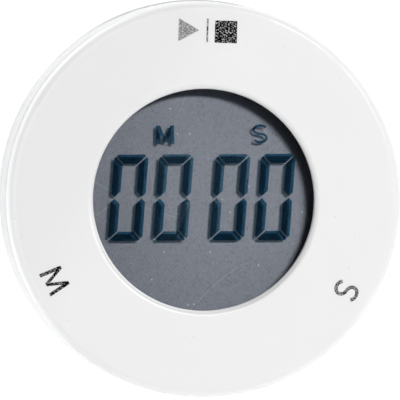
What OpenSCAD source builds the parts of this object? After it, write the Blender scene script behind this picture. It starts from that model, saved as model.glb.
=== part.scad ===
// Round digital kitchen timer. It lies on its back: +Z is the way the face looks, +Y is
// the top of the display, and the origin is the middle of the resting face.
// The whole white ring rocks: it is pressed at the start/stop, minutes or seconds mark.

/* [Body] */
// Outside diameter of the timer
body_d = 70; // [70:0.5:74]
// Height from the resting face to the face of the press ring
body_h = 20; // [20:0.25:23]
// Thickness of the housing's side wall
wall_t = 1.8; // [1.6:0.1:2]
// Thickness of the housing's floor
floor_t = 1.8; // [1.8:0.1:2]
// Radius of the housing's lower edge
back_edge_r = 1.5; // [1:0.1:1.5]
// How far the rubber grip ring stands below the housing
foot_proud = 0.4; // [0.3:0.05:0.6]

/* [Press ring] */
// Diameter of the window in the press ring
ring_hole_d = 39.3; // [38.6:0.1:39.4]
// Thickness of the press ring's plate
ring_t = 1.4; // [1.2:0.1:1.4]
// Height of the press ring's outer edge
ring_edge_h = 4.2; // [3.8:0.05:4.4]
// Radius of the press ring's outer edge
ring_edge_r = 1.3; // [0.8:0.1:1.3]
// Radius of the press ring's inner edge
ring_hole_edge_r = 0.95; // [0.4:0.05:1]
// Gap between the press ring and the housing, at rest
seam_gap = 0.45; // [0.4:0.05:0.6]
// Distance from the centre to each switch that the ring presses
press_r = 28.5; // [28.5:0.1:28.7]

/* [Display] */
// Diameter of the chassis's opening over the display
window_d = 39.8; // [39.4:0.1:39.8]
// Width of the display glass
lcd_w = 40; // [39.6:0.1:40]
// Height of the digits
digit_h = 15.3; // [14:0.1:16]
// Width of one digit before it is slanted
digit_w = 6.12; // [5.6:0.02:6.4]
// Width of a digit's upright strokes
digit_t = 1.62; // [1.2:0.02:1.7]
// Width of a digit's level strokes
digit_bar_t = 1.64; // [1.2:0.02:1.7]
// Slant of the digits in degrees
digit_slant = 4.7; // [0:0.1:8]

/* [Marks] */
// Distance from the centre to the marks on the ring
mark_r = 30; // [29:0.1:30.5]
// Height of the marks on the ring
mark_h = 3.9; // [3:0.1:4.2]
// Turn of the start and stop marks from their switch, in degrees
start_mark_turn = -1.9; // [-3:0.1:3]
// Turn of the minutes mark from its switch, in degrees
minutes_mark_turn = -2.1; // [-3:0.1:3]
// Turn of the seconds mark from its switch, in degrees
seconds_mark_turn = -2.7; // [-3:0.1:3]

/* [Battery] */
// Diameter of the coin cell
cell_d = 20; // [20:0.1:20.2]
// Thickness of the coin cell
cell_t = 3.2; // [2.5:0.1:3.2]
// Diameter of the battery cover
cover_d = 25.7; // [25.6:0.05:25.8]

/* [Hidden] */
$fn = 96;

// Places round the body
zone_angles = [90, 210, 330];
post_angles = [30, 150, 270];
boss_angles = [60, 120, 240, 300];
hook_angles = [12, 168, 250, 290];
magnet_angles = [0, 180];
buzzer_angle = 90;
post_r = 27.5;
boss_r = 29.5;
hook_r = 28;
magnet_r = 24;
buzzer_r = 24.3;

// Radii
body_r = body_d / 2;
inside_r = body_r - wall_t;
rim_r = inside_r - 0.1;
skirt_in_r = inside_r + 0.1;
ring_hole_r = ring_hole_d / 2;
window_r = window_d / 2;
lens_r = ring_hole_r + 1.6;
trough_r = 30.9;
cell_r = cell_d / 2;
cover_r = cover_d / 2;

// Heights, from the back to the front
back_z = foot_proud;
floor_z = back_z + floor_t;
ring_under_z = body_h - ring_t;
skirt_z = body_h - ring_edge_h;
wall_top_z = skirt_z - seam_gap;
ring_room = 0.4;
deck_t = 0.7;
deck_top_z = ring_under_z - ring_room;
deck_z = deck_top_z - deck_t;
lens_ledge_z = deck_z + 0.3;
trough_z = deck_top_z - 0.9;

// Display stack, from the front to the back
film_t = 0.2;
glass_t = 1.1;
ink_t = 0.05;
rear_film_t = 0.25;
mirror_t = 0.1;
lcd_top_z = deck_z - 0.05;
front_glass_z = lcd_top_z - film_t - glass_t;
segment_z = front_glass_z - ink_t;
rear_glass_z = segment_z - glass_t;
rear_film_z = rear_glass_z - rear_film_t;
reflector_z = rear_film_z - mirror_t;
lcd_half = lcd_w / 2;
ledge_h = 2.3;
lcd_room = 0.25;

// Circuit board and switches
pcb_t = 1.2;
pcb_top_z = deck_z - 4.9;
pcb_z = pcb_top_z - pcb_t;
pcb_r = 32.5;
switch_w = 6;
switch_h = 3.5;
switch_cover_t = 0.3;
plunger_r = 1.75;
plunger_top_z = pcb_top_z + 4.3;
actuator_gap = 0.03;

// Grip ring, screws, magnets and buzzer
foot_in_r = body_r - 3.8;
foot_out_r = body_r - 2;
foot_t = 1.2;
fit_gap = 0.05;
tower_top_z = 9;
head_seat_z = 5;
magnet_d = 12;
magnet_t = 2;
buzzer_seat_z = floor_z + 1.2;

// Digits and letters
digit_gap = 0.32;
digit_chamfer = 0.75;
digit_places = [-13.17, -5.13, 4.96, 13];
digit_y = 0.38;
print_t = 0.03;

// Bayonet of the battery cover
lug_count = 3;
lug_angle = 24;
cover_turn = 30;
lug_reach = 0.85;
lip_t = 0.7;
groove_r = cover_r + 1.05;
groove_top_z = floor_z - 0.1;

// Shared shapes

// A ring or, with r_in of 0, a disc between two heights
module tube(r_in, r_out, z0, z1) {
    translate([0, 0, z0])
        difference() {
            cylinder(r = r_out, h = z1 - z0);
            if (r_in > 0)
                translate([0, 0, -1]) cylinder(r = r_in, h = z1 - z0 + 2);
        }
}

// A box from its two opposite corners
module block(low, high) {
    translate(low) cube(high - low);
}

// Copies its children at each angle, r from the centre, turned to face outwards
module around(angles, r) {
    for (a = angles) rotate(a) translate([r, 0, 0]) children();
}

// The same, but not turned
module placed_around(angles, r) {
    for (a = angles) translate([r * cos(a), r * sin(a), 0]) children();
}

// The quarter of a circle on one side of its centre, dx and dy being 1 or -1
module quarter(r, dx, dy) {
    intersection() {
        circle(r);
        translate([dx > 0 ? 0 : -r, dy > 0 ? 0 : -r]) square(r);
    }
}

// A flat stroke of width t between two points
module stroke(p, q, t) {
    d = q - p;
    translate(p) rotate(atan2(d.y, d.x)) translate([0, -t / 2]) square([norm(d), t]);
}

// The outline of a path drawn with a pen of width t
function side(p, i) =
    let (a = p[max(i - 1, 0)], b = p[min(i + 1, len(p) - 1)], d = (b - a) / norm(b - a))
    [-d.y, d.x];
function pen(p, t) = concat(
    [for (i = [0:len(p) - 1]) p[i] + side(p, i) * t / 2],
    [for (i = [len(p) - 1:-1:0]) p[i] - side(p, i) * t / 2]
);

// The middle line of an S, as two arcs that meet in its centre
function letter_s_path(w, h) = concat(
    [for (a = [30:12:270]) [w / 2 * cos(a), h / 4 + h / 4 * sin(a)]],
    [for (a = [78:-12:-150]) [w / 2 * cos(a), -h / 4 + h / 4 * sin(a)]]
);

module letter_s(w, h, t) {
    polygon(pen(letter_s_path(w - t, h - t), t));
}

// An M whose legs may lean in towards the top
module letter_m(w_top, w_bottom, h, t) {
    top = [(w_top - t) / 2, h / 2];
    foot = [(w_bottom - t) / 2, -h / 2];
    dip = [0, -h / 2 + 0.45 * t];
    intersection() {
        union() {
            for (side = [-1, 1]) {
                stroke([side * foot.x, foot.y - t], [side * top.x, top.y], t);
                stroke([side * top.x * 1.06, top.y + t / 4], dip, t * 0.9);
            }
        }
        translate([-w_bottom, -h / 2]) square([2 * w_bottom, h]);
    }
}

// A coiled spring with open ends
module coil(r, wire_r, z0, z1, turns) {
    sides = 6;
    steps = turns * 16;
    rings = [
        for (i = [0:steps])
        let (a = 360 * turns * i / steps, z = z0 + wire_r + (z1 - z0 - 2 * wire_r) * i / steps)
        for (j = [0:sides - 1])
        let (b = 360 * j / sides, d = r + wire_r * cos(b))
        [d * cos(a), d * sin(a), z + wire_r * sin(b)]
    ];
    skin = [
        for (i = [0:steps - 1])
        for (j = [0:sides - 1])
        let (k = i * sides, n = (j + 1) % sides)
        [k + j, k + n, k + sides + n, k + sides + j]
    ];
    ends = [
        [for (j = [sides - 1:-1:0]) j],
        [for (j = [0:sides - 1]) steps * sides + j]
    ];
    polyhedron(rings, concat(skin, ends), convexity = 10);
}

// Casing

module housing_profile() {
    chamfer = 0.25;
    translate([0, back_z]) square([body_r - back_edge_r, floor_t]);
    translate([body_r - back_edge_r, back_z + back_edge_r]) quarter(back_edge_r, 1, -1);
    polygon([
        [inside_r, back_z + back_edge_r],
        [body_r, back_z + back_edge_r],
        [body_r, wall_top_z - chamfer],
        [body_r - chamfer, wall_top_z],
        [inside_r, wall_top_z]
    ]);
}

// Everything that is cut for the battery cover: its hole, its groove and the lugs' ways in
module bayonet_cut() {
    tube(0, cover_r + 0.15, back_z - 1, floor_z);
    tube(0, groove_r, back_z + lip_t, groove_top_z);
    for (i = [0:lug_count - 1])
        rotate(360 / lug_count * i - cover_turn)
            translate([0, 0, back_z - 1])
                rotate_extrude(angle = lug_angle + 2, start = -lug_angle / 2 - 1)
                    square([groove_r - 0.08, lip_t + 1.3]);
}

module rear_housing() {
    color("white")
    difference() {
        union() {
            rotate_extrude() housing_profile();
            tube(0, 15, floor_z - 0.1, floor_z + 2);
            tube(0, cell_r + 1.9, floor_z, floor_z + 4.8);
            around(post_angles, post_r) tube(0, 3.3, floor_z - 0.1, tower_top_z);
            around(magnet_angles, magnet_r) tube(0, 7.2, floor_z - 0.1, back_z + magnet_t + 1);
            around([buzzer_angle], buzzer_r) tube(6.2, 8, floor_z - 0.1, buzzer_seat_z + 1);
        }
        tube(foot_in_r, foot_out_r, back_z - 1, foot_t);
        bayonet_cut();
        tube(0, cell_r + 0.4, back_z, floor_z + 6);
        rotate(270) block([cell_r, -2.6, floor_z + 0.6], [cell_r + 3, 2.6, floor_z + 6]);
        around(post_angles, post_r) {
            tube(0, 2.6, back_z - 1, head_seat_z);
            tube(0, 1.35, back_z, tower_top_z + 1);
        }
        around(magnet_angles, magnet_r)
            tube(0, magnet_d / 2 + 0.1, back_z - 1, back_z + magnet_t + 0.1);
        around([buzzer_angle], buzzer_r) {
            tube(0, 7.1, buzzer_seat_z, buzzer_seat_z + 2);
            tube(0, 0.6, back_z - 1, floor_z + 1);
            around([0:60:300], 3) tube(0, 0.6, back_z - 1, floor_z + 1);
        }
        // Two dots beside the cover: shut and open
        for (turn = [0, -cover_turn])
            rotate(turn + 90) translate([cover_r + 2.2, 0, back_z - 1])
                cylinder(r = 0.5, h = 1.3);
    }
}

module front_chassis() {
    color("whitesmoke")
    difference() {
        union() {
            tube(0, trough_r, deck_z, deck_top_z);
            tube(trough_r - 0.6, trough_r, trough_z - 0.7, deck_top_z);
            tube(trough_r - 0.6, rim_r, trough_z - 0.7, trough_z);
            tube(rim_r - 0.8, rim_r, trough_z - 3.3, trough_z);
            lcd_walls();
            around(post_angles, post_r) tube(0, 2.7, tower_top_z, deck_z + 0.1);
            around(boss_angles, boss_r) tube(0, 2, pcb_top_z, trough_z - 0.6);
        }
        lcd_pocket();
        tube(trough_r, body_r, trough_z, body_h);
        tube(0, window_r, deck_z - 1, body_h);
        tube(0, lens_r + 0.05, lens_ledge_z, body_h);
        around(zone_angles, press_r) tube(0, 2, deck_z - 2, deck_top_z + 1);
        around(hook_angles, hook_r) block([-0.6, -1.9, deck_z - 1], [1.7, 1.9, deck_top_z + 1]);
        placed_around(zone_angles, press_r)
            block(
                [-switch_w / 2 - 0.3, -switch_w / 2 - 0.3, pcb_top_z - 1],
                [switch_w / 2 + 0.3, switch_w / 2 + 0.3, pcb_top_z + switch_h + 0.3]
            );
        around(post_angles, post_r) tube(0, 1.2, tower_top_z - 1, tower_top_z + 6);
        around(boss_angles, boss_r) tube(0, 0.9, pcb_top_z - 1, pcb_top_z + 3.6);
    }
}

module lcd_walls() {
    t = 0.85 + lcd_room;
    block(
        [-lcd_half - t, -lcd_half - ledge_h - t, reflector_z - 0.4],
        [lcd_half + t, lcd_half + t, deck_z + 0.1]
    );
}

module lcd_pocket() {
    block(
        [-lcd_half - lcd_room, -lcd_half - ledge_h - lcd_room, reflector_z - 1],
        [lcd_half + lcd_room, lcd_half + lcd_room, deck_z]
    );
}

module grip_ring() {
    color("lightgray") tube(foot_in_r + fit_gap, foot_out_r - fit_gap, 0, foot_t);
}

module back_magnets() {
    color("silver")
        around(magnet_angles, magnet_r)
            tube(0, magnet_d / 2, back_z + fit_gap, back_z + fit_gap + magnet_t);
}

// Display

module lens() {
    color([0.8, 0.85, 0.9, 0.15])
    union() {
        tube(0, window_r - fit_gap, deck_z, lens_ledge_z + 0.1);
        tube(0, lens_r, lens_ledge_z, deck_top_z);
    }
}

// A sheet of the display: width, lower edge and heights
module lcd_sheet(low_y, z0, z1) {
    block([-lcd_half, low_y, z0], [lcd_half, lcd_half, z1]);
}

module lcd_front_polariser() {
    color([0.5, 0.55, 0.6, 0.2])
        lcd_sheet(-lcd_half, lcd_top_z - film_t, lcd_top_z);
}

module lcd_front_glass() {
    color([0.7, 0.8, 0.85, 0.2])
        lcd_sheet(-lcd_half - ledge_h, front_glass_z, front_glass_z + glass_t);
}

module lcd_rear_glass() {
    color([0.7, 0.8, 0.85, 0.2])
        lcd_sheet(-lcd_half + 0.2, rear_glass_z, rear_glass_z + glass_t);
}

module lcd_rear_polariser() {
    color([0.5, 0.55, 0.6, 0.2])
        lcd_sheet(-lcd_half + 0.2, rear_film_z, rear_glass_z);
}

module lcd_reflector() {
    color([0.48, 0.5, 0.53])
        lcd_sheet(-lcd_half + 0.2, reflector_z, rear_film_z);
}

// Points of a digit's corner, counted from the corner inwards as [across, down], become
// places on the slanted digit. right and up are 1 or -1 and choose the corner.
function digit_place(p, right, up) =
    let (x = right * (digit_w / 2 - p.x), y = up * (digit_h / 2 - p.y))
    [x + y * tan(digit_slant), y];

// The left half of the upper bar, then the right half, as one outline
module digit_bar(up) {
    k = digit_gap / 2;
    c = digit_chamfer;
    corner = [[digit_t + k, digit_bar_t], [(c + k) / 2, (c - k) / 2], [c, 0]];
    polygon(concat(
        [for (i = [0:2]) digit_place(corner[i], -1, up)],
        [for (i = [2:-1:0]) digit_place(corner[i], 1, up)]
    ));
}

module digit_side(right, up) {
    k = digit_gap / 2;
    c = digit_chamfer;
    tip = digit_h / 2 - 0.16;
    polygon([
        for (p = [
            [0, c],
            [(c - k) / 2, (c + k) / 2],
            [digit_t, digit_bar_t + k],
            [digit_t, tip - 0.6 * digit_t],
            [0.4 * digit_t, tip],
            [0, tip - 0.4 * digit_t]
        ]) digit_place(p, right, up)
    ]);
}

// A nought: six strokes, with the middle one off
module digit_zero() {
    for (up = [-1, 1]) {
        digit_bar(up);
        for (right = [-1, 1]) digit_side(right, up);
    }
}

module lcd_segments() {
    color([0.03, 0.1, 0.18])
    translate([0, 0, segment_z])
        linear_extrude(ink_t) {
            for (x = digit_places) translate([x, digit_y]) digit_zero();
            translate([-6.56, 11.47]) letter_m(3.15, 3.3, 3.3, 0.7);
            translate([10.32, 11.58]) letter_s(2.7, 3.35, 0.42);
        }
}

module zebra_strip() {
    color([0.25, 0.25, 0.28])
        block([-17, -lcd_half - ledge_h + 0.3, pcb_top_z], [17, -lcd_half, front_glass_z]);
}

module lcd_foam_pad() {
    color([0.3, 0.3, 0.3]) block([-16, 16, pcb_top_z], [16, 19, reflector_z]);
}

// Electronics

module pcb() {
    color("darkgreen")
    difference() {
        tube(0, pcb_r, pcb_z, pcb_top_z);
        around(post_angles, post_r) tube(0, 3.3, pcb_z - 1, pcb_top_z + 1);
        around(boss_angles, boss_r) tube(0, 1.1, pcb_z - 1, pcb_top_z + 1);
    }
}

// A drop of black resin over the bonded chip, under the board
module controller_blob() {
    drop_r = 7;
    drop_h = 1.3;
    color([0.06, 0.06, 0.06])
    intersection() {
        translate([-14, 13, pcb_z - drop_h + drop_r]) sphere(drop_r);
        block([-24, 3, pcb_z - 3], [-4, 23, pcb_z]);
    }
}

module crystal() {
    color("silver")
        translate([15, 9, pcb_z - 1]) rotate([-90, 0, 0]) cylinder(r = 1, h = 6);
}

module smd_parts() {
    color("tan") {
        for (x = [-9:4.5:9]) block([x - 1, 10.5, pcb_z - 0.6], [x + 1, 11.75, pcb_z]);
        for (y = [-12:4:-4]) block([17, y, pcb_z - 0.8], [18.25, y + 2, pcb_z]);
        for (x = [-8, 4]) block([x, -23, pcb_z - 1.6], [x + 5, -20, pcb_z]);
    }
}

module switch_base(angle) {
    bore_r = plunger_r + 0.08;
    color([0.1, 0.1, 0.1])
    placed_around([angle], press_r)
        difference() {
            block(
                [-switch_w / 2, -switch_w / 2, pcb_top_z],
                [switch_w / 2, switch_w / 2, pcb_top_z + switch_h - switch_cover_t]
            );
            tube(0, bore_r, pcb_top_z + 1.4, pcb_top_z + switch_h);
        }
}

module start_switch_base() {
    switch_base(zone_angles[0]);
}

module minutes_switch_base() {
    switch_base(zone_angles[1]);
}

module seconds_switch_base() {
    switch_base(zone_angles[2]);
}

module switch_covers() {
    color("silver")
    placed_around(zone_angles, press_r)
        difference() {
            block(
                [-switch_w / 2, -switch_w / 2, pcb_top_z + switch_h - switch_cover_t],
                [switch_w / 2, switch_w / 2, pcb_top_z + switch_h]
            );
            tube(0, plunger_r + 0.15, pcb_top_z, pcb_top_z + switch_h + 1);
        }
}

module plunger(angle) {
    color([0.15, 0.15, 0.15])
        placed_around([angle], press_r) tube(0, plunger_r, pcb_top_z + 2, plunger_top_z);
}

module start_plunger() {
    plunger(zone_angles[0]);
}

module minutes_plunger() {
    plunger(zone_angles[1]);
}

module seconds_plunger() {
    plunger(zone_angles[2]);
}

module buzzer_disc() {
    color("goldenrod")
        around([buzzer_angle], buzzer_r) tube(0, 7, buzzer_seat_z, buzzer_seat_z + 0.2);
}

module buzzer_ceramic() {
    color("white")
        around([buzzer_angle], buzzer_r) tube(0, 4.6, buzzer_seat_z + 0.2, buzzer_seat_z + 0.4);
}

module buzzer_springs() {
    color("silver")
    around([buzzer_angle], buzzer_r) {
        coil(0.9, 0.18, buzzer_seat_z + 0.4, pcb_z, 6);
        translate([-5.8, 0, 0]) coil(0.9, 0.18, buzzer_seat_z + 0.2, pcb_z, 6);
    }
}

module buzzer_mesh() {
    color([0.12, 0.12, 0.12])
        around([buzzer_angle], buzzer_r) tube(0, 6.1, floor_z, floor_z + 0.15);
}

// Battery

cell_z = floor_z + 0.2;

module coin_cell() {
    color("silver")
    union() {
        tube(0, cell_r, cell_z, cell_z + cell_t - 0.4);
        tube(0, cell_r - 1.1, cell_z, cell_z + cell_t);
    }
}

// A spring strip that presses on the side of the cell
module cell_contact_plus() {
    r = cell_r + 0.02;
    top = pcb_z;
    color("silver")
    rotate([0, 0, 270]) rotate([90, 0, 0])
        linear_extrude(4, center = true)
            polygon([
                [r, floor_z + 1.2],
                [r + 0.7, floor_z + 1.2],
                [r + 0.3, floor_z + 2.6],
                [r + 0.7, floor_z + 4],
                [r + 1.5, top],
                [r + 1.2, top],
                [r + 0.4, floor_z + 4]
            ]);
}

// A spring strip that comes down from the board to the middle of the cell
module cell_contact_minus() {
    low = cell_z + cell_t;
    color("silver")
    rotate([90, 0, 0])
        linear_extrude(4, center = true)
            polygon([
                [-1, low],
                [1, low],
                [7, low + 2.6],
                [7, pcb_z],
                [6.7, pcb_z],
                [6.7, low + 2.8],
                [0.9, low + 0.3],
                [-0.9, low + 0.3],
                [-1.7, low + 0.9],
                [-1.9, low + 0.7]
            ]);
}

module battery_cover() {
    top = floor_z - 0.2;
    lug_z = back_z + lip_t + 0.1;
    color("white")
    difference() {
        union() {
            tube(0, cover_r, back_z, top);
            tube(0, cell_r - 2, back_z, cell_z);
            for (i = [0:lug_count - 1])
                rotate(360 / lug_count * i)
                    translate([0, 0, lug_z])
                        rotate_extrude(angle = lug_angle, start = -lug_angle / 2)
                            translate([cover_r - 1, 0]) square([1 + lug_reach, groove_top_z - 0.1 - lug_z]);
        }
        tube(cell_r + 1.2, cell_r + 2.4, back_z + 0.9, floor_z + 1);
        coin_slot();
        rotate(90) translate([cover_r - 1.6, 0, back_z - 1]) cylinder(r = 0.5, h = 1.3);
    }
}

module coin_slot() {
    slot_l = 14;
    slot_w = 1.8;
    translate([0, 0, back_z - 1]) {
        translate([-slot_l / 2, -slot_w / 2, 0]) cube([slot_l, slot_w, 1.9]);
        for (side = [-1, 1]) translate([side * slot_l / 2, 0, 0]) cylinder(r = slot_w / 2, h = 1.9);
    }
}

module cover_o_ring() {
    section_r = 0.45;
    color([0.2, 0.2, 0.2])
        translate([0, 0, floor_z - section_r])
            rotate_extrude() translate([cell_r + 1.8, 0]) circle(section_r);
}

// Screws

// A pan-head screw whose head is below z and whose shank goes up from it
module screw(head_r, head_h, shank_r, z, length) {
    difference() {
        union() {
            tube(0, head_r, z - head_h, z);
            tube(0, shank_r, z - 0.1, z + length);
        }
        for (turn = [0, 90])
            rotate(turn)
                block([-head_r * 0.6, -0.25, z - head_h - 1], [head_r * 0.6, 0.25, z - head_h * 0.45]);
    }
}

module case_screws() {
    color("silver") around(post_angles, post_r) screw(2.2, 1.6, 1.15, head_seat_z, 9);
}

module pcb_screws() {
    color("silver") around(boss_angles, boss_r) screw(1.8, 1.2, 0.85, pcb_z, 4.4);
}

// Press ring and what lies under it

module splash_gasket() {
    color([0.75, 0.75, 0.75])
        tube(trough_r + 0.3, rim_r - 0.2, trough_z, trough_z + 0.6);
}

// A flat spring ring with six waves, between the gasket and the press ring
module wave_spring() {
    waves = 6;
    steps = 96;
    t = 0.3;
    r_in = trough_r + 0.4;
    r_out = rim_r - 0.3;
    low = trough_z + 0.6;
    mid = (low + ring_under_z) / 2;
    swing = (ring_under_z - low - t) / 2;
    points = [
        for (i = [0:steps - 1])
        let (a = 360 * i / steps, z = mid + swing * sin(waves * a))
        for (p = [[r_in, z - t / 2], [r_out, z - t / 2], [r_out, z + t / 2], [r_in, z + t / 2]])
        [p.x * cos(a), p.x * sin(a), p.y]
    ];
    faces = [
        for (i = [0:steps - 1])
        let (k = 4 * i, n = 4 * ((i + 1) % steps))
        for (j = [0:3])
        let (m = (j + 1) % 4)
        for (f = [[k + j, n + m, k + m], [k + j, n + j, n + m]]) f
    ];
    color("silver") polyhedron(points, faces, convexity = 10);
}

module ring_profile() {
    chamfer = 0.25;
    edge = body_r - ring_edge_r;
    lip = ring_hole_r + ring_hole_edge_r;
    translate([lip, ring_under_z]) square([edge - lip, ring_t]);
    translate([edge, body_h - ring_edge_r]) quarter(ring_edge_r, 1, 1);
    polygon([
        [skirt_in_r, skirt_z],
        [body_r - chamfer, skirt_z],
        [body_r, skirt_z + chamfer],
        [body_r, body_h - ring_edge_r],
        [skirt_in_r, body_h - ring_edge_r]
    ]);
    translate([ring_hole_r, ring_under_z])
        square([ring_hole_edge_r + 0.1, ring_t - ring_hole_edge_r]);
    translate([lip, body_h - ring_hole_edge_r]) quarter(ring_hole_edge_r, -1, 1);
}

module snap_hook() {
    reach = 1;
    arm_t = 1.2;
    half_w = 1.5;
    tip_z = deck_z - 1.5;
    catch_z = deck_z - 0.1;
    block([0, -half_w, tip_z], [arm_t, half_w, ring_under_z + 0.1]);
    rotate([90, 0, 0])
        linear_extrude(2 * half_w, center = true)
            polygon([
                [arm_t - 0.1, tip_z],
                [arm_t, tip_z],
                [arm_t + reach, catch_z - 0.3],
                [arm_t + reach, catch_z],
                [arm_t - 0.1, catch_z]
            ]);
}

module press_ring() {
    color("white")
    union() {
        rotate_extrude() ring_profile();
        around(zone_angles, press_r)
            tube(0, 1.6, plunger_top_z + actuator_gap, ring_under_z + 0.1);
        around(hook_angles, hook_r) snap_hook();
    }
}

// Marks printed on the ring, upright when read from the middle of the display

// Puts flat shapes on the ring at an angle, their tops towards the middle
module printed(angle, inwards) {
    color([0.12, 0.12, 0.12])
        rotate(angle)
            translate([mark_r, 0, body_h])
                rotate(inwards ? 90 : -90)
                    linear_extrude(print_t) children();
}

module start_stop_mark() {
    triangle_w = 3.65;
    square_w = 3.95;
    bar_w = 0.3;
    printed(zone_angles[0] + start_mark_turn, false) {
        translate([-5.42, 0])
            polygon([[0, -mark_h / 2 - 0.1], [0, mark_h / 2 + 0.1], [triangle_w, 0]]);
        translate([-0.28 - bar_w / 2, -mark_h / 2 - 0.15]) square([bar_w, mark_h + 0.3]);
        translate([1.03, -square_w / 2 - 0.15]) square(square_w);
    }
}

module minutes_mark() {
    printed(zone_angles[1] + minutes_mark_turn, true) letter_m(3.65, 4.55, mark_h + 0.15, 0.62);
}

module seconds_mark() {
    printed(zone_angles[2] + seconds_mark_turn, true) letter_s(2.95, 4.5, 0.6);
}

rear_housing();
front_chassis();
grip_ring();
back_magnets();
lens();
lcd_front_polariser();
lcd_front_glass();
lcd_segments();
lcd_rear_glass();
lcd_rear_polariser();
lcd_reflector();
zebra_strip();
lcd_foam_pad();
pcb();
controller_blob();
crystal();
smd_parts();
start_switch_base();
minutes_switch_base();
seconds_switch_base();
switch_covers();
start_plunger();
minutes_plunger();
seconds_plunger();
buzzer_disc();
buzzer_ceramic();
buzzer_springs();
buzzer_mesh();
coin_cell();
cell_contact_plus();
cell_contact_minus();
battery_cover();
cover_o_ring();
case_screws();
pcb_screws();
splash_gasket();
wave_spring();
press_ring();
start_stop_mark();
minutes_mark();
seconds_mark();
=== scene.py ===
"""Round digital kitchen timer: materials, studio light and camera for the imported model.

Lengths are in metres, as in the frame, but the distances that a material is shaded by
are in millimetres. Azimuth 0 is +X, and 90 is +Y, which is up in the photograph.
"""

import math

import bpy
from mathutils import Matrix, Quaternion, Vector


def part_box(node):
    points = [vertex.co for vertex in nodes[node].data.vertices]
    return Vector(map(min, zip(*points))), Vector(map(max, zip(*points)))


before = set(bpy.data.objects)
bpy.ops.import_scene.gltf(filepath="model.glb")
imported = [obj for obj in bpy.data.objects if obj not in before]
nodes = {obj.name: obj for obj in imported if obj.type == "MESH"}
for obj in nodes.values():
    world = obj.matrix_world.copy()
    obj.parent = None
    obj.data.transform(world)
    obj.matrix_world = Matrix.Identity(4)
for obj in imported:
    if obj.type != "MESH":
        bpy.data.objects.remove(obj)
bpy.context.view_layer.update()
scene = bpy.context.scene

MM = 0.001
_, ring_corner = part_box("press_ring")
FACE = Vector((0, 0, ring_corner.z))

# The ring, in millimetres: its outer radius, its face's height and its hole's radius
RING_R = ring_corner.x / MM
FACE_Z = ring_corner.z / MM
HOLE_R = 19.65


# ---------------------------------------------------------------- node helpers

class Tree:
    """A short way to build a material's or the world's nodes."""

    def __init__(self, owner):
        owner.use_nodes = True
        self.tree = owner.node_tree
        self.tree.nodes.clear()

    def add(self, kind, inputs=None, **settings):
        n = self.tree.nodes.new("ShaderNode" + kind)
        for key, value in settings.items():
            setattr(n, key, value)
        for key, value in (inputs or {}).items():
            self.put(n.inputs[key], value)
        return n

    def put(self, socket, value):
        if isinstance(value, bpy.types.NodeSocket):
            self.tree.links.new(value, socket)
        elif isinstance(value, bpy.types.Node):
            self.tree.links.new(value.outputs[0], socket)
        elif socket.type == "RGBA" and len(value) == 3:
            socket.default_value = (*value, 1)
        else:
            socket.default_value = value

    def math(self, op, a, b=None):
        n = self.add("Math", operation=op)
        for i, value in enumerate((a, b)):
            if value is not None:
                self.put(n.inputs[i], value)
        return n.outputs[0]

    def product(self, first, *others):
        for other in others:
            first = self.math("MULTIPLY", first, other)
        return first

    def ramp(self, value, low, high, to_low=0.0, to_high=1.0, smooth=True):
        """Goes from to_low to to_high while value goes from low to high, and no further."""
        n = self.add("MapRange", {"Value": value, "From Min": low, "From Max": high,
                                  "To Min": to_low, "To Max": to_high}, clamp=True,
                     interpolation_type="SMOOTHSTEP" if smooth else "LINEAR")
        return n.outputs["Result"]

    def mix(self, fac, a, b, blend="MIX"):
        n = self.add("Mix", data_type="RGBA", blend_type=blend)
        factor, colour_a, colour_b, result = n.inputs[0], n.inputs[6], n.inputs[7], n.outputs[2]
        self.put(factor, fac)
        self.put(colour_a, a)
        self.put(colour_b, b)
        return result

    def light_path(self, kind):
        return self.add("LightPath").outputs[kind]

    def seen_from_inside(self):
        return self.add("NewGeometry").outputs["Backfacing"]

    # Places

    def place(self):
        """The point on the object, in metres of the frame."""
        if not hasattr(self, "_place"):
            self._place = self.add("TexCoord").outputs["Object"]
        return self._place

    def coordinate(self, axis):
        """The point's X, Y or Z in millimetres."""
        xyz = self.add("SeparateXYZ", {"Vector": self.place()})
        return self.math("MULTIPLY", xyz.outputs[axis], 1 / MM)

    def along(self, azimuth):
        """How far the point is from the timer's axis in one direction, in millimetres."""
        a = math.radians(azimuth)
        return self.math("ADD", self.math("MULTIPLY", self.coordinate("X"), math.cos(a)),
                         self.math("MULTIPLY", self.coordinate("Y"), math.sin(a)))

    def radius(self, centre=(0, 0)):
        """How far the point is from an upright line, in millimetres."""
        off = self.add("VectorMath", {0: self.place(), 1: (centre[0] * MM, centre[1] * MM, 0)},
                       operation="SUBTRACT")
        flat = self.add("VectorMath", {0: off, 1: (1, 1, 0)}, operation="MULTIPLY")
        length = self.add("VectorMath", {0: flat}, operation="LENGTH").outputs["Value"]
        return self.math("MULTIPLY", length, 1 / MM)

    # Patterns

    def noise(self, scale, detail=2.0, rough=0.5, at=None):
        """Noise whose features are about 1/scale metres, from 0 to 1."""
        n = self.add("TexNoise", {"Vector": at or self.place(), "Scale": scale,
                                  "Detail": detail, "Roughness": rough})
        return n.outputs["Fac"]

    def cells(self, scale, flat=False):
        """Voronoi cells 1/scale metres wide; flat ones are columns along Z."""
        return self.add("TexVoronoi", {"Vector": self.place(), "Scale": scale},
                        voronoi_dimensions="2D" if flat else "3D")

    def own_number(self, cells, channel):
        """Each cell's own random number, from 0 to 1."""
        return self.add("SeparateColor", {"Color": cells.outputs["Color"]}).outputs[channel]

    def motes(self, scale, low, radius):
        """Small soft-edged dots, in the cells whose own number is over low.
        Their radius is in parts of a cell."""
        cells = self.cells(scale, flat=True)
        return self.product(self.ramp(cells.outputs["Distance"], radius, radius * 0.4),
                            self.ramp(self.own_number(cells, "Green"), low, low + 0.01))

    def bump(self, height, strength, distance):
        n = self.add("Bump", {"Height": height, "Strength": strength, "Distance": distance})
        return n.outputs[0]


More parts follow.
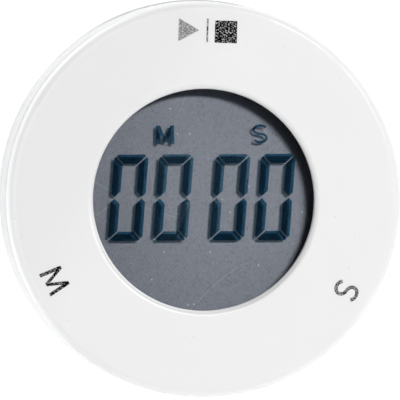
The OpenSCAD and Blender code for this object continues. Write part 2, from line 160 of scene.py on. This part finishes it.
def material(name, build):
    m = bpy.data.materials.new(name)
    t = Tree(m)
    t.add("OutputMaterial", {"Surface": build(t)})
    return m


def grey(value):
    return (value, value, value)


def scaled(colour, factor):
    return [v * factor for v in colour]


# ---------------------------------------------------------------- plastic and ink

WHITE = 0.70
# The white of the highlights painted on the ring
HIGHLIGHT = 0.93
DUST = (0.33, 0.32, 0.31)


def white_plastic(specks, grain, painted_light=None):
    """Satin ABS: white with a fine spark-eroded grain, faint cloudiness and a few specks.
    specks and grain say how strong these are; the last paints light and shade on by place."""
    def build(t):
        colour = t.mix(t.noise(90, 3), grey(WHITE * 0.985), grey(WHITE * 1.012))
        if painted_light:
            colour = painted_light(t, colour)
        colour = t.mix(t.product(t.motes(330, 0.93, 0.06), specks), colour, DUST)
        height = t.math("ADD", t.product(t.noise(1500, 3, 0.6), 0.7),
                        t.product(t.noise(5200, 1), 0.3))
        return t.add("BsdfPrincipled", {
            "Base Color": colour, "IOR": 1.5, "Specular IOR Level": 0.5,
            "Roughness": t.ramp(t.noise(260, 4), 0.3, 0.7, 0.40, 0.52),
            "Normal": t.bump(height, grain, 0.06 * MM)})
    return build


def ring_painted_light(t, colour):
    """Light and shade painted on the ring by place, which the lamps don't give."""
    radius = t.radius()
    # Painted shade: the left side is a little darker
    colour = t.mix(t.ramp(t.along(147), 8, 23), colour, grey(WHITE * 0.95))
    # Painted highlight: the outer edge is brighter at the left
    edge_highlight = t.math("ADD", t.ramp(radius, RING_R - 1.8, RING_R - 0.9, 0, 0.26),
                  t.ramp(radius, RING_R - 0.7, RING_R - 0.2, 0, 0.74))
    near_face = t.ramp(t.coordinate("Z"), FACE_Z - 1.8, FACE_Z - 1.0)
    edge_highlight = t.product(edge_highlight, near_face, t.ramp(t.along(165), 14, 31))
    colour = t.mix(edge_highlight, colour, grey(HIGHLIGHT))
    # Painted highlight: the hole's edge is pale at the lower left, with a faint dark line in it
    hole_highlight = t.product(t.ramp(radius, HOLE_R + 1.05, HOLE_R + 0.75, 0, 0.45),
                    t.ramp(t.along(238), 9, 17))
    colour = t.mix(hole_highlight, colour, grey(HIGHLIGHT))
    line = t.product(t.ramp(radius, HOLE_R + 0.19, HOLE_R + 0.37),
                     t.ramp(radius, HOLE_R + 0.73, HOLE_R + 0.55),
                     t.ramp(t.along(262), 2, 14, 0, 0.32))
    return t.mix(line, colour, grey(0.3))


def worn(t, dark, light, low, high):
    """Pad-printed ink that has worn to a fine speckle between two greys.
    The speckle is dark where its noise is under low, and light where it is over high."""
    speckle = t.ramp(t.noise(3400, 1, 0.7), low, high, smooth=False)
    return t.add("BsdfPrincipled", {"Base Color": t.mix(speckle, grey(dark), grey(light)),
                                    "Roughness": 0.85, "Specular IOR Level": 0.05})


def print_ink(*speckle):
    def build(t):
        return worn(t, *speckle)
    return build


# Where the bar and the square of the start and stop mark begin, in millimetres along X
BAR_X, SQUARE_X = 0, 1.4


def start_ink(t):
    """The triangle is printed pale, the bar darker and the square darkest."""
    x = t.coordinate("X")
    triangle = worn(t, 0.12, 0.42, 0.36, 0.62)
    bar = worn(t, 0.02, 0.43, 0.43, 0.61)
    square = worn(t, 0.0, 0.38, 0.53, 0.63)
    left = t.add("MixShader", {0: t.math("GREATER_THAN", x, BAR_X), 1: triangle, 2: bar})
    return t.add("MixShader", {0: t.math("GREATER_THAN", x, SQUARE_X), 1: left, 2: square})


# ---------------------------------------------------------------- window and display

def window(t):
    """Clear acrylic with a little dust: light goes straight through, less a reflection."""
    through = t.add("BsdfTransparent", {"Color": (0.985, 0.985, 0.985)})
    dust = t.ramp(t.noise(700, 4, 0.7), 0.52, 0.75, 0.04, 0.11)
    shine = t.add("BsdfGlossy", {"Color": (0.9, 0.9, 0.9), "Roughness": dust})
    # Only where light enters: a face seen from inside would turn to a mirror at low angles
    outside = t.math("SUBTRACT", 1.0, t.seen_from_inside())
    share = t.product(t.add("Fresnel", {"IOR": 1.6}).outputs[0], outside)
    return t.add("MixShader", {0: share, 1: through, 2: shine})


def clear(tint):
    """A see-through layer that lies against its neighbours, so it reflects nothing."""
    def build(t):
        return t.add("BsdfTransparent", {"Color": tint})
    return build


def film(t):
    """The front polariser: nearly clear, but light that comes in low is mostly lost in it."""
    facing = t.add("LayerWeight", {"Blend": 0.5}).outputs["Facing"]
    low = t.product(t.ramp(facing, 0.52, 0.80), t.light_path("Is Shadow Ray"))
    tint = t.mix(low, (0.97, 0.985, 0.99), (0.26, 0.27, 0.28))
    return t.add("BsdfTransparent", {"Color": tint})


def crystal_ink(t):
    """The dark segments: a blue-black filter, more neutral in the shadow that it throws."""
    tint = t.mix(t.light_path("Is Shadow Ray"), (0.285, 0.518, 0.645), (0.36, 0.43, 0.45))
    return t.add("BsdfTransparent", {"Color": tint})


BACK_TONE = (0.211, 0.202, 0.237)
SCRATCH = (0.62, 0.64, 0.66)
# The middle of the display's painted shade, where it is brightest, in millimetres
PAINTED_SHADE_CENTRE = (4, -0.5)
# Fine scratches on the display are parts of large circles: centre and radius in millimetres
HAIRLINES = (((-31, -22), 23), ((24, -40), 33), ((9, 47), 52), ((-40, 30), 39))


def reflector(t):
    """The display's back: blue-grey with the fine sparkle of metallised paper, specks of dust
    and hairlines. It throws light back mostly as a mirror would, so it is dark in shade."""
    tone = t.mix(t.noise(160, 3), BACK_TONE, scaled(BACK_TONE, 0.95))
    sparkle = t.own_number(t.cells(4200), "Red")
    tone = t.mix(t.ramp(sparkle, 0, 1, 0, 0.10), tone, scaled(BACK_TONE, 2))
    tone = t.mix(t.ramp(sparkle, 0.18, 0.0, 0, 0.30), tone, scaled(BACK_TONE, 0.4))

    # Painted shade: it darkens towards its rim, and most at the left
    painted_shade = t.product(t.ramp(t.radius(PAINTED_SHADE_CENTRE), 8, 26, 1.0, 0.82, smooth=False),
                     t.ramp(t.coordinate("X"), -4, -20, 1.0, 0.92))
    tone = t.mix(1.0, tone, painted_shade, "MULTIPLY")

    dots = t.math("MAXIMUM", t.motes(430, 0.88, 0.085), t.product(t.motes(1500, 0.82, 0.17), 0.38))
    tone = t.mix(t.product(dots, 0.5), tone, SCRATCH)
    broken = t.ramp(t.noise(190, 1), 0.42, 0.60, 0, 0.24)
    for centre, radius in HAIRLINES:
        off_line = t.math("ABSOLUTE", t.math("SUBTRACT", t.radius(centre), radius))
        tone = t.mix(t.product(t.ramp(off_line, 0.06, 0.01), broken), tone, SCRATCH)

    matt = t.add("BsdfDiffuse", {"Color": tone})
    sheen = t.add("BsdfGlossy", {"Color": tone, "Roughness": 0.5})
    return t.add("MixShader", {0: 0.62, 1: matt, 2: sheen})


# ---------------------------------------------------------------- other materials

def metal(colour, smoothest, roughest, scale, stretch=(1, 1, 1)):
    """Plain metal with fine scratches along one way and slight stains."""
    def build(t):
        at = t.add("Mapping", {"Vector": t.place(), "Scale": stretch}).outputs[0]
        lines = t.noise(scale, 4, 0.65, at)
        stained = t.mix(t.product(t.noise(240, 3), 0.5), colour, scaled(colour, 0.8))
        return t.add("BsdfPrincipled", {
            "Base Color": stained, "Metallic": 1.0,
            "Roughness": t.ramp(lines, 0.3, 0.7, smoothest, roughest),
            "Normal": t.bump(lines, 0.25, 0.03 * MM)})
    return build


def rubber(colour, rough=0.75):
    def build(t):
        fine = t.noise(2200, 3, 0.6)
        return t.add("BsdfPrincipled", {
            "Base Color": t.mix(t.noise(180, 4), colour, scaled(colour, 1.18)),
            "Roughness": t.ramp(fine, 0.3, 0.7, rough, rough + 0.15),
            "Normal": t.bump(fine, 0.35, 0.08 * MM)})
    return build


def plain(colour, rough, texture=900):
    """Small inner parts: one colour with slight unevenness."""
    def build(t):
        fine = t.noise(texture, 3, 0.6)
        return t.add("BsdfPrincipled", {
            "Base Color": t.mix(fine, colour, scaled(colour, 1.25)),
            "Roughness": t.ramp(fine, 0.3, 0.7, rough, rough + 0.12),
            "Normal": t.bump(fine, 0.2, 0.04 * MM)})
    return build


def board(t):
    """Green solder mask, paler and raised where there is copper under it."""
    copper = t.ramp(t.noise(500, 2), 0.52, 0.54)
    return t.add("BsdfPrincipled", {
        "Base Color": t.mix(copper, (0.012, 0.10, 0.03), (0.02, 0.16, 0.05)),
        "Roughness": 0.32, "Normal": t.bump(copper, 0.3, 0.03 * MM)})


STRIPE_PITCH = 0.2 * MM


def zebra(t):
    """Carbon stripes across a pale rubber strip."""
    x = t.add("SeparateXYZ", {"Vector": t.place()}).outputs["X"]
    stripe = t.math("FRACT", t.math("MULTIPLY", x, 1 / STRIPE_PITCH))
    colour = t.mix(t.ramp(stripe, 0.45, 0.55), (0.02, 0.02, 0.02), (0.45, 0.42, 0.38))
    return t.add("BsdfPrincipled", {"Base Color": colour, "Roughness": 0.7})


# ---------------------------------------------------------------- which node wears what

ALONG_X, ALONG_X_FINE = (1, 5, 1), (1, 6, 1)

# Material, how it is built, and the CAD nodes that wear it
FINISHES = (
    ("ring_abs", white_plastic(0.30, 0.35, ring_painted_light), ["press_ring"]),
    ("chassis_abs", white_plastic(0.1, 0.25), ["front_chassis"]),
    ("housing_abs", white_plastic(0.2, 0.45), ["rear_housing", "battery_cover"]),
    ("start_ink", start_ink, ["start_stop_mark"]),
    ("minutes_ink", print_ink(0.0, 0.25, 0.51, 0.63), ["minutes_mark"]),
    ("seconds_ink", print_ink(0.0, 0.36, 0.42, 0.62), ["seconds_mark"]),
    ("lens_acrylic", window, ["lens"]),
    ("film", film, ["lcd_front_polariser"]),
    ("glass_sheet", clear((0.99, 1.0, 0.995)), ["lcd_front_glass", "lcd_rear_glass"]),
    ("rear_film", clear((0.99, 0.99, 0.99)), ["lcd_rear_polariser"]),
    ("liquid_crystal", crystal_ink, ["lcd_segments"]),
    ("reflector", reflector, ["lcd_reflector"]),
    ("grip_rubber", rubber((0.42, 0.43, 0.44)), ["grip_ring"]),
    ("gasket_silicone", rubber((0.55, 0.55, 0.55), 0.6), ["splash_gasket"]),
    ("o_ring_nitrile", rubber((0.02, 0.02, 0.02), 0.5), ["cover_o_ring"]),
    ("nickel", metal((0.60, 0.58, 0.54), 0.16, 0.38, 900, ALONG_X_FINE), ["back_magnets"]),
    ("zinc", metal((0.50, 0.51, 0.53), 0.28, 0.45, 1800), ["case_screws", "pcb_screws"]),
    ("spring_steel", metal((0.52, 0.52, 0.52), 0.2, 0.35, 1500),
     ["wave_spring", "buzzer_springs"]),
    ("spring_strip", metal((0.62, 0.59, 0.52), 0.22, 0.4, 1600),
     ["cell_contact_plus", "cell_contact_minus"]),
    ("cell_can", metal((0.60, 0.60, 0.59), 0.2, 0.4, 700, ALONG_X), ["coin_cell"]),
    ("tinplate", metal((0.58, 0.58, 0.58), 0.25, 0.4, 1500), ["crystal", "switch_covers"]),
    ("brass_sheet", metal((0.60, 0.42, 0.16), 0.25, 0.45, 900, ALONG_X), ["buzzer_disc"]),
    ("silvered_ceramic", plain((0.55, 0.53, 0.47), 0.5), ["buzzer_ceramic"]),
    ("acoustic_mesh", plain((0.02, 0.02, 0.02), 0.8, 3000), ["buzzer_mesh"]),
    ("solder_mask", board, ["pcb"]),
    ("potting_resin", plain((0.012, 0.012, 0.012), 0.25, 400), ["controller_blob"]),
    ("chip_bodies", plain((0.22, 0.15, 0.09), 0.5), ["smd_parts"]),
    ("black_nylon", plain((0.02, 0.02, 0.02), 0.45),
     ["start_switch_base", "minutes_switch_base", "seconds_switch_base",
      "start_plunger", "minutes_plunger", "seconds_plunger"]),
    ("zebra_rubber", zebra, ["zebra_strip"]),
    ("foam", plain((0.03, 0.03, 0.03), 0.9, 2500), ["lcd_foam_pad"]),
)

for finish, build, wearers in FINISHES:
    made = material(finish, build)
    for wearer in wearers:
        for slot in nodes[wearer].material_slots:
            slot.material = made


# ---------------------------------------------------------------- floor

FLOOR_REACH = 6.0
FLOOR_DROP = 0.02 * MM
# A slightly cool white
FLOOR_GLOW = (0.97, 0.985, 1.0)


def floor_paint(t):
    """A white sweep that gives off light of its own, so that it stays white.
    It is darker under the timer, as painted shade, and seen from below it is clear."""
    radius = t.radius()
    # It lights the timer more from the upper left than from the lower right
    lighting = t.ramp(t.along(145), -24, 34, 0.60, 0.94, smooth=False)
    seen = t.product(t.light_path("Is Camera Ray"), 1.08)
    # Painted shade under the timer: the glow falls to about a third inside the rim
    strength = t.product(t.math("MAXIMUM", lighting, seen),
                         t.ramp(radius, RING_R - 0.5, RING_R + 0.5, 0.35, 1.0))
    # A thin painted contact shadow: the glow is cut just outside the top of the timer
    painted_contact_shadow = t.product(t.ramp(radius, RING_R + 0.58, RING_R + 0.05),
                        t.ramp(t.along(75), 12, 30))
    strength = t.product(strength, t.math("SUBTRACT", 1.0, painted_contact_shadow))
    glow = t.add("Emission", {"Color": FLOOR_GLOW, "Strength": strength})
    paint = t.add("BsdfDiffuse", {"Color": (0.5, 0.5, 0.5)})
    top = t.add("AddShader", {0: glow, 1: paint})
    hole = t.add("BsdfTransparent", {"Color": (1, 1, 1)})
    return t.add("MixShader", {0: t.seen_from_inside(), 1: top, 2: hole})


floor_mesh = bpy.data.meshes.new("floor")
corners = [(x * FLOOR_REACH, y * FLOOR_REACH, 0) for x, y in ((-1, -1), (1, -1), (1, 1), (-1, 1))]
floor_mesh.from_pydata(corners, [], [(0, 1, 2, 3)])
floor_mesh.materials.append(material("white_sweep", floor_paint))
floor = bpy.data.objects.new("floor", floor_mesh)
floor.location.z = -FLOOR_DROP
scene.collection.objects.link(floor)


# ---------------------------------------------------------------- light

def towards(azimuth, tilt, distance):
    """A place at that distance from the face's middle, tilt degrees off the face's normal."""
    a, t = math.radians(azimuth), math.radians(tilt)
    way = Vector((math.sin(t) * math.cos(a), math.sin(t) * math.sin(a), math.cos(t)))
    return FACE + distance * way


def lamp(name, azimuth, tilt, distance, size, power, colour=(1, 1, 1), shape="RECTANGLE",
         spin=0, glossy=False):
    """A soft light aimed at the face; size is across and up, spin turns it about its own axis.
    Only a glossy one shows in reflections."""
    data = bpy.data.lights.new(name, "AREA")
    data.shape = shape
    data.size, data.size_y = size
    data.energy = power
    data.color = colour
    o = bpy.data.objects.new(name, data)
    o.location = towards(azimuth, tilt, distance)
    aim = (FACE - o.location).to_track_quat("-Z", "Y")
    o.rotation_euler = (aim @ Quaternion((0, 0, 1), math.radians(spin))).to_euler()
    o.visible_glossy = glossy
    scene.collection.objects.link(o)


# The key light is long from left to right: it softens the shadow's right side, not its top
lamp("key", 45.8, 25, 2.4, (0.62, 0.30), 53.6, (1.0, 0.985, 0.975), "ELLIPSE", 44, glossy=True)
# A wide, faint, bluish light lifts the soft side of the shadow on the display
lamp("key_halo", 27, 25, 2.4, (1.7, 1.7), 4.8, (0.86, 1.0, 1.12), "ELLIPSE", glossy=True)
# Low lights for the ring's lower edge, its right edge and its left edge
lamp("fill_low", 262, 74, 0.9, (0.7, 0.25), 6.6)
lamp("edge_light", 22, 80, 0.9, (0.6, 0.16), 2.0)
lamp("edge_left", 156, 86, 0.9, (0.5, 0.10), 2.3)

# The backdrop is white to the camera. Its light on the timer is dim and bluish, and comes
# mostly from low down: rise is the sine of a direction's height.
world = bpy.data.worlds.new("studio")
scene.world = world
w = Tree(world)
rise = w.add("SeparateXYZ", {"Vector": w.add("TexCoord").outputs["Generated"]}).outputs["Z"]
dim = w.add("Background", {"Color": (0.84, 0.96, 1.06),
                           "Strength": w.ramp(rise, 0.34, 0.22, 0.02, 0.13)})
white = w.add("Background", {"Color": (1, 1, 1), "Strength": 1.0})
sky = w.add("MixShader", {0: w.light_path("Is Camera Ray"), 1: dim, 2: white})
w.add("OutputWorld", {"Surface": sky})


# ---------------------------------------------------------------- camera

# Where the camera stands: degrees off the face's normal, azimuth, lean, and metres away
TILT, SIDEWAYS, ROLL = 4.9, 164, 0.2
DISTANCE = 3.04
# The square of the face's plane that fills the picture, and how far its middle is from the axis
VIEW_WIDTH = 70.8 * MM
OFF_CENTRE = (-0.72 * MM, -0.01 * MM)
SENSOR = 36

cam_data = bpy.data.cameras.new("camera")
cam_data.sensor_width = SENSOR
cam_data.lens = SENSOR * DISTANCE / VIEW_WIDTH
cam_data.clip_start, cam_data.clip_end = 0.1, 20

cam = bpy.data.objects.new("camera", cam_data)
scene.collection.objects.link(cam)
cam.location = towards(SIDEWAYS, TILT, DISTANCE)
ahead = (FACE - cam.location).normalized()
level = ahead.cross(Vector((0, 1, 0))).normalized()
lean = math.radians(ROLL)
right = level * math.cos(lean) - level.cross(ahead) * math.sin(lean)
up = right.cross(ahead)
cam.rotation_euler = Matrix((right, up, -ahead)).transposed().to_euler()
cam.location += right * OFF_CENTRE[0] + up * OFF_CENTRE[1]
scene.camera = cam

scene.view_settings.view_transform = "Standard"
scene.view_settings.look = "None"
# The display is a stack of see-through sheets, which light passes twice
scene.cycles.transparent_max_bounces = 32
